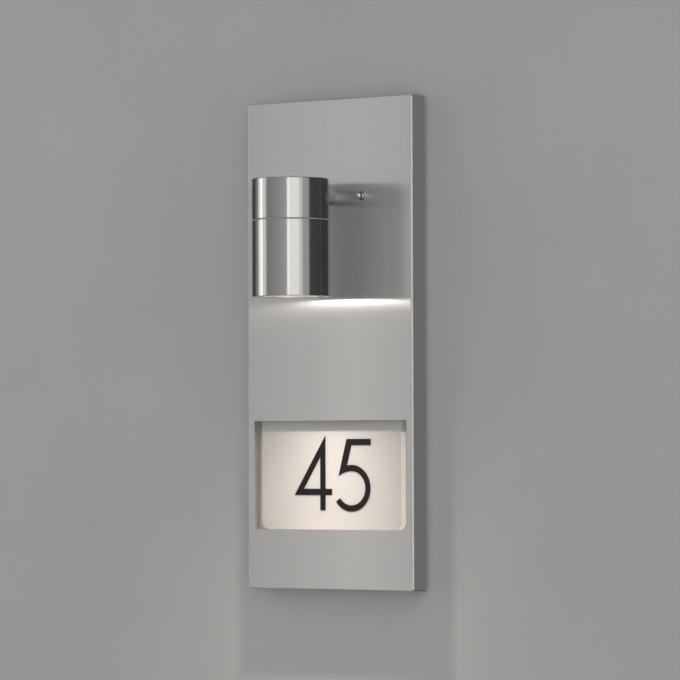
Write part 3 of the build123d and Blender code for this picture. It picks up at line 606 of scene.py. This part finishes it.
pale_silicone, tree = new_material("light grey silicone rubber")
coords = add(tree, "ShaderNodeTexCoord")
bloom = add(tree, "ShaderNodeTexNoise",
            {"Vector": coords.outputs["Object"], "Scale": 1 / bloom_size, "Detail": 3.0})
tone = add(tree, "ShaderNodeMix", {0: bloom.outputs["Fac"], 6: colour("#B4B4B2"), 7: colour("#C4C4C2")},
           data_type="RGBA")
rubber = add(tree, "ShaderNodeBsdfPrincipled",
             {"Base Color": tone.outputs[2], "Roughness": 0.55, "IOR": 1.43})
add(tree, "ShaderNodeOutputMaterial", {"Surface": rubber.outputs[0]})
dress(["seam_gasket"], pale_silicone)

# ------------------------------------------------------------------ front glass
# Toughened glass, satin etched, that glows evenly with the lamp's warm light behind it. It lies on its seal
# in the barrel's mouth, under the snap ring.
etched, tree = new_material("satin etched glass")
coords = add(tree, "ShaderNodeTexCoord")
# Etch pits are about 0.05 mm across. They are drawn 0.4 mm across.
pit_size = 0.0004
etch = add(tree, "ShaderNodeTexNoise",
           {"Vector": coords.outputs["Object"], "Scale": 1 / pit_size, "Detail": 2.0})
relief = add(tree, "ShaderNodeBump", {"Height": etch.outputs["Fac"], "Strength": 0.2, "Distance": 0.00003})
glass = add(tree, "ShaderNodeBsdfPrincipled",
            {"Base Color": colour("#F3F1EC"), "Roughness": 0.4, "IOR": 1.52, "Transmission Weight": 0.6,
             "Emission Color": colour("#FFF8F0"), "Emission Strength": 0.55, "Normal": relief.outputs[0]})
add(tree, "ShaderNodeOutputMaterial", {"Surface": glass.outputs[0]})
dress(["front_glass"], etched)

# ------------------------------------------------------------------ lamp
# A reflector lamp with a white moulded body, smooth and half glossy. Two pins at its back turn and lock in
# the lampholder.
moulding, tree = new_material("white lamp moulding")
coords = add(tree, "ShaderNodeTexCoord")
# Flow marks of the moulding, 2 mm across.
flow_marks = 0.002
grain = add(tree, "ShaderNodeTexNoise",
            {"Vector": coords.outputs["Object"], "Scale": 1 / flow_marks, "Detail": 2.0})
rough = add(tree, "ShaderNodeMapRange", {"Value": grain.outputs["Fac"], "To Min": 0.28, "To Max": 0.4})
white = add(tree, "ShaderNodeBsdfPrincipled",
            {"Base Color": colour("#ECECEA"), "Roughness": rough.outputs[0], "IOR": 1.58})
add(tree, "ShaderNodeOutputMaterial", {"Surface": white.outputs[0]})
dress(["lamp_body"], moulding)


# ------------------------------------------------------------------ lamp ribs
# Upright ribs shed the lamp's heat. They are moulded with the body's cone, stand half out of it, and end in
# the step above and the rim below.
def new_tree(name, inputs, output):
    """A geometry node tree with named inputs, and its input node."""
    made = bpy.data.node_groups.new(name, "GeometryNodeTree")
    for label, kind in inputs.items():
        made.interface.new_socket(label, in_out="INPUT", socket_type=kind)
    made.interface.new_socket(output, in_out="OUTPUT", socket_type="NodeSocketGeometry")
    return made, add(made, "NodeGroupInput")


def grown(name, tree, values):
    """The plain mesh that a tree makes from these values, as an object at the origin."""
    made = bpy.data.objects.new(name, bpy.data.meshes.new(name))
    bpy.context.scene.collection.objects.link(made)
    modifier = made.modifiers.new(name, "NODES")
    modifier.node_group = tree
    for item in tree.interface.items_tree:
        if item.in_out == "INPUT":
            modifier[item.identifier] = values[item.name]
    bpy.context.view_layer.update()
    made.data = bpy.data.meshes.new_from_object(made.evaluated_get(bpy.context.evaluated_depsgraph_get()))
    made.modifiers.clear()
    return made


rib_count = 36
rib_half_width = 0.0007
rib_steps = 12
rib_sides = 10
rib_tip = 0.002
rib_bluntness = 0.3
cone_top_radius = 0.0172
cone_foot_radius = 0.0247
step_height = 0.012
rim_height = 0.0085
rib_margin = 0.0008
lamp_low, lamp_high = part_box("lamp_body")

tree, sizes = new_tree("ribs round a cone", {
    "Count": "NodeSocketInt", "Half width": "NodeSocketFloat", "Top": "NodeSocketVector",
    "Foot": "NodeSocketVector", "Axis": "NodeSocketVector", "Material": "NodeSocketMaterial"}, "Ribs")
spine = add(tree, "GeometryNodeCurvePrimitiveLine",
            {"Start": sizes.outputs["Top"], "End": sizes.outputs["Foot"]})
spine = add(tree, "GeometryNodeResampleCurve", {"Curve": spine.outputs[0], "Count": rib_steps})
section = add(tree, "GeometryNodeCurvePrimitiveCircle",
              {"Resolution": rib_sides, "Radius": sizes.outputs["Half width"]})
# The rib's ends are rounded: its width follows a low power of a half sine along it, and never gets to zero.
along = add(tree, "GeometryNodeSplineParameter")
angle = add(tree, "ShaderNodeMath", {0: along.outputs["Factor"], 1: math.pi}, operation="MULTIPLY")
swell = add(tree, "ShaderNodeMath", {0: angle.outputs[0]}, operation="SINE")
swell = add(tree, "ShaderNodeMath", {0: swell.outputs[0], 1: rib_tip}, operation="MAXIMUM")
swell = add(tree, "ShaderNodeMath", {0: swell.outputs[0], 1: rib_bluntness}, operation="POWER")
rib = add(tree, "GeometryNodeCurveToMesh",
          {"Curve": spine.outputs[0], "Profile Curve": section.outputs["Curve"], "Scale": swell.outputs[0],
           "Fill Caps": True})
spots = add(tree, "GeometryNodeMeshLine",
            {"Count": sizes.outputs["Count"], "Start Location": sizes.outputs["Axis"], "Offset": (0, 0, 0)})
number = add(tree, "GeometryNodeInputIndex")
share = add(tree, "ShaderNodeMath", {0: number.outputs[0], 1: sizes.outputs["Count"]}, operation="DIVIDE")
angle = add(tree, "ShaderNodeMath", {0: share.outputs[0], 1: 2 * math.pi}, operation="MULTIPLY")
turn = add(tree, "ShaderNodeCombineXYZ", {"Z": angle.outputs[0]})
ring = add(tree, "GeometryNodeInstanceOnPoints",
           {"Points": spots.outputs[0], "Instance": rib.outputs[0], "Rotation": turn.outputs[0]})
solid = add(tree, "GeometryNodeRealizeInstances", {"Geometry": ring.outputs[0]})
painted = add(tree, "GeometryNodeSetMaterial",
              {"Geometry": solid.outputs[0], "Material": sizes.outputs["Material"]})
add(tree, "NodeGroupOutput", {"Ribs": painted.outputs[0]})

lamp_ribs = grown("lamp_ribs", tree, {
    "Count": rib_count, "Half width": rib_half_width,
    "Top": (cone_top_radius, 0, lamp_high[2] - step_height - rib_margin),
    "Foot": (cone_foot_radius, 0, lamp_low[2] + rim_height + rib_margin),
    "Axis": (0, head_axis_y, 0), "Material": moulding})
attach(lamp_ribs, "lamp")

# ------------------------------------------------------------------ lamp lens
# A pressed lens of frosted plastic, lit from behind and snapped into the lamp's rim. Rings of small beads on
# its face spread the light.
lens_plastic, tree = new_material("frosted lamp lens")
coords = add(tree, "ShaderNodeTexCoord")
# Frosting about 0.1 mm fine, drawn 0.8 mm wide.
frost_size = 0.0008
frost = add(tree, "ShaderNodeTexNoise",
            {"Vector": coords.outputs["Object"], "Scale": 1 / frost_size, "Detail": 2.0})
relief = add(tree, "ShaderNodeBump", {"Height": frost.outputs["Fac"], "Strength": 0.2, "Distance": 0.00005})
lens = add(tree, "ShaderNodeBsdfPrincipled",
           {"Base Color": colour("#F4F0E8"), "Roughness": 0.45, "IOR": 1.58,
            "Emission Color": colour("#FFE6C8"), "Emission Strength": 0.5, "Normal": relief.outputs[0]})
add(tree, "ShaderNodeOutputMaterial", {"Surface": lens.outputs[0]})
dress(["lamp_lens"], lens_plastic)

bead_radius = 0.0015
bead_height = 0.5            # of its radius
bead_pitch = 0.0036
bead_segments = 14
bead_rings = 8
circle_beads = 6             # on the first circle, and as many more on each next one
rounding_guard = 0.0001
lens_low, lens_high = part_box("lamp_lens")
bead_circles = int((lens_high[0] - bead_radius) / bead_pitch)

tree, sizes = new_tree("rings of beads", {
    "Circles": "NodeSocketInt", "Pitch": "NodeSocketFloat", "Bead radius": "NodeSocketFloat",
    "Flatness": "NodeSocketVector", "Centre": "NodeSocketVector", "Material": "NodeSocketMaterial"}, "Beads")
# With f beads on the first circle, circles 1 to n hold f n (n + 1) / 2 of them. Bead i, counted from 0, then
# has as many whole circles inside its own as the whole part of (sqrt(1 + 8 i / f) - 1) / 2. The guard keeps
# a circle's first bead from being rounded down to the circle before.
total = add(tree, "ShaderNodeMath", {0: sizes.outputs["Circles"], 1: 1.0}, operation="ADD")
total = add(tree, "ShaderNodeMath",
            {0: total.outputs[0], 1: sizes.outputs["Circles"]}, operation="MULTIPLY")
total = add(tree, "ShaderNodeMath", {0: total.outputs[0], 1: circle_beads / 2}, operation="MULTIPLY")
spots = add(tree, "GeometryNodeMeshLine",
            {"Count": total.outputs[0], "Start Location": sizes.outputs["Centre"], "Offset": (0, 0, 0)})
number = add(tree, "GeometryNodeInputIndex")
root = add(tree, "ShaderNodeMath",
           {0: number.outputs[0], 1: 8 / circle_beads, 2: 1.0}, operation="MULTIPLY_ADD")
root = add(tree, "ShaderNodeMath", {0: root.outputs[0]}, operation="SQRT")
inner = add(tree, "ShaderNodeMath",
            {0: root.outputs[0], 1: 0.5, 2: rounding_guard - 0.5}, operation="MULTIPLY_ADD")
inner = add(tree, "ShaderNodeMath", {0: inner.outputs[0]}, operation="FLOOR")
circle = add(tree, "ShaderNodeMath", {0: inner.outputs[0], 1: 1.0}, operation="ADD")
before = add(tree, "ShaderNodeMath", {0: inner.outputs[0], 1: circle.outputs[0]}, operation="MULTIPLY")
place = add(tree, "ShaderNodeMath",
            {0: before.outputs[0], 1: -circle_beads / 2, 2: number.outputs[0]}, operation="MULTIPLY_ADD")
share = add(tree, "ShaderNodeMath", {0: place.outputs[0], 1: circle.outputs[0]}, operation="DIVIDE")
angle = add(tree, "ShaderNodeMath",
            {0: share.outputs[0], 1: 2 * math.pi / circle_beads}, operation="MULTIPLY")
reach = add(tree, "ShaderNodeMath", {0: circle.outputs[0], 1: sizes.outputs["Pitch"]}, operation="MULTIPLY")
cosine = add(tree, "ShaderNodeMath", {0: angle.outputs[0]}, operation="COSINE")
sine = add(tree, "ShaderNodeMath", {0: angle.outputs[0]}, operation="SINE")
across = add(tree, "ShaderNodeMath", {0: cosine.outputs[0], 1: reach.outputs[0]}, operation="MULTIPLY")
forward = add(tree, "ShaderNodeMath", {0: sine.outputs[0], 1: reach.outputs[0]}, operation="MULTIPLY")
shift = add(tree, "ShaderNodeCombineXYZ", {"X": across.outputs[0], "Y": forward.outputs[0]})
spread = add(tree, "GeometryNodeSetPosition", {"Geometry": spots.outputs[0], "Offset": shift.outputs[0]})
bead = add(tree, "GeometryNodeMeshUVSphere",
           {"Segments": bead_segments, "Rings": bead_rings, "Radius": sizes.outputs["Bead radius"]})
beads = add(tree, "GeometryNodeInstanceOnPoints",
            {"Points": spread.outputs[0], "Instance": bead.outputs["Mesh"],
             "Scale": sizes.outputs["Flatness"]})
solid = add(tree, "GeometryNodeRealizeInstances", {"Geometry": beads.outputs[0]})
smooth = add(tree, "GeometryNodeSetShadeSmooth", {"Geometry": solid.outputs[0]})
painted = add(tree, "GeometryNodeSetMaterial",
              {"Geometry": smooth.outputs[0], "Material": sizes.outputs["Material"]})
add(tree, "NodeGroupOutput", {"Beads": painted.outputs[0]})

lens_beads = grown("lens_beads", tree, {
    "Circles": bead_circles, "Pitch": bead_pitch, "Bead radius": bead_radius, "Flatness": (1, 1, bead_height),
    "Centre": (0, head_axis_y, lens_low[2]), "Material": lens_plastic})
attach(lens_beads, "lamp")

# ------------------------------------------------------------------ lampholder
# Steatite ceramic, pressed and fired without a glaze: off-white, fine grained, dull. Two screws hold it to
# its strap.
steatite, tree = new_material("steatite ceramic")
coords = add(tree, "ShaderNodeTexCoord")
# Grains of the pressed powder, drawn 0.9 mm wide.
powder_grain = 0.0009
grain = add(tree, "ShaderNodeTexNoise",
            {"Vector": coords.outputs["Object"], "Scale": 1 / powder_grain, "Detail": 4.0})
tone = add(tree, "ShaderNodeMix", {0: grain.outputs["Fac"], 6: colour("#DDD8CB"), 7: colour("#ECE8DE")},
           data_type="RGBA")
relief = add(tree, "ShaderNodeBump", {"Height": grain.outputs["Fac"], "Strength": 0.3, "Distance": 0.00008})
fired = add(tree, "ShaderNodeBsdfPrincipled",
            {"Base Color": tone.outputs[2], "Roughness": 0.7, "Normal": relief.outputs[0]})
add(tree, "ShaderNodeOutputMaterial", {"Surface": fired.outputs[0]})
dress(["lampholder"], steatite)

# ------------------------------------------------------------------ brass contacts and terminals
# The lampholder's contacts and the earth lug are pressed from brass strip, and the terminals' sleeves are
# turned from bar. All are slightly tarnished.
brass, tree = new_material("tarnished brass")
coords = add(tree, "ShaderNodeTexCoord")
# Tarnish in spots about 3 mm across.
spot_size = 0.003
stain = add(tree, "ShaderNodeTexNoise",
            {"Vector": coords.outputs["Object"], "Scale": 1 / spot_size, "Detail": 4.0})
tone = add(tree, "ShaderNodeMix", {0: stain.outputs["Fac"], 6: colour("#A98343"), 7: colour("#D2B271")},
           data_type="RGBA")
rough = add(tree, "ShaderNodeMapRange", {"Value": stain.outputs["Fac"], "To Min": 0.25, "To Max": 0.45})
metal = add(tree, "ShaderNodeBsdfPrincipled",
            {"Base Color": tone.outputs[2], "Metallic": 1.0, "Roughness": rough.outputs[0]})
add(tree, "ShaderNodeOutputMaterial", {"Surface": metal.outputs[0]})
dress(["holder_contacts", "terminal_sleeves", "earth_lug"], brass)

# ------------------------------------------------------------------ terminal block
# Moulded natural nylon: cream, waxy and a little translucent. One screw fixes the block to the bracket's
# tab.
nylon, tree = new_material("natural nylon")
coords = add(tree, "ShaderNodeTexCoord")
# Eroded mould texture, drawn 1.7 mm wide.
mould_grain = 0.0017
grain = add(tree, "ShaderNodeTexNoise",
            {"Vector": coords.outputs["Object"], "Scale": 1 / mould_grain, "Detail": 2.0})
rough = add(tree, "ShaderNodeMapRange", {"Value": grain.outputs["Fac"], "To Min": 0.4, "To Max": 0.55})
waxy = add(tree, "ShaderNodeBsdfPrincipled",
           {"Base Color": colour("#E3DFD2"), "Roughness": rough.outputs[0], "IOR": 1.53,
            "Subsurface Weight": 0.15, "Subsurface Scale": 0.001})
add(tree, "ShaderNodeOutputMaterial", {"Surface": waxy.outputs[0]})
dress(["terminal_block"], nylon)


# ------------------------------------------------------------------ wires
# Silicone-insulated wires in brown, blue and green, with the dull bloom that such sleeving has. Brown and
# blue go through the arm to the lampholder, and green goes to the bracket's earth lug.
def insulation(name, code):
    """Silicone rubber sleeving in one colour."""
    made, tree = new_material(name)
    coords = add(tree, "ShaderNodeTexCoord")
    bloom = add(tree, "ShaderNodeTexNoise",
                {"Vector": coords.outputs["Object"], "Scale": 1 / bloom_size, "Detail": 3.0})
    rough = add(tree, "ShaderNodeMapRange", {"Value": bloom.outputs["Fac"], "To Min": 0.4, "To Max": 0.6})
    skin = add(tree, "ShaderNodeBsdfPrincipled",
               {"Base Color": colour(code), "Roughness": rough.outputs[0], "IOR": 1.43})
    add(tree, "ShaderNodeOutputMaterial", {"Surface": skin.outputs[0]})
    return made


dress(["wire_live"], insulation("brown insulation", "#5E3A22"))
dress(["wire_neutral"], insulation("blue insulation", "#2B5FA8"))
dress(["wire_earth"], insulation("green insulation", "#4E8F2E"))
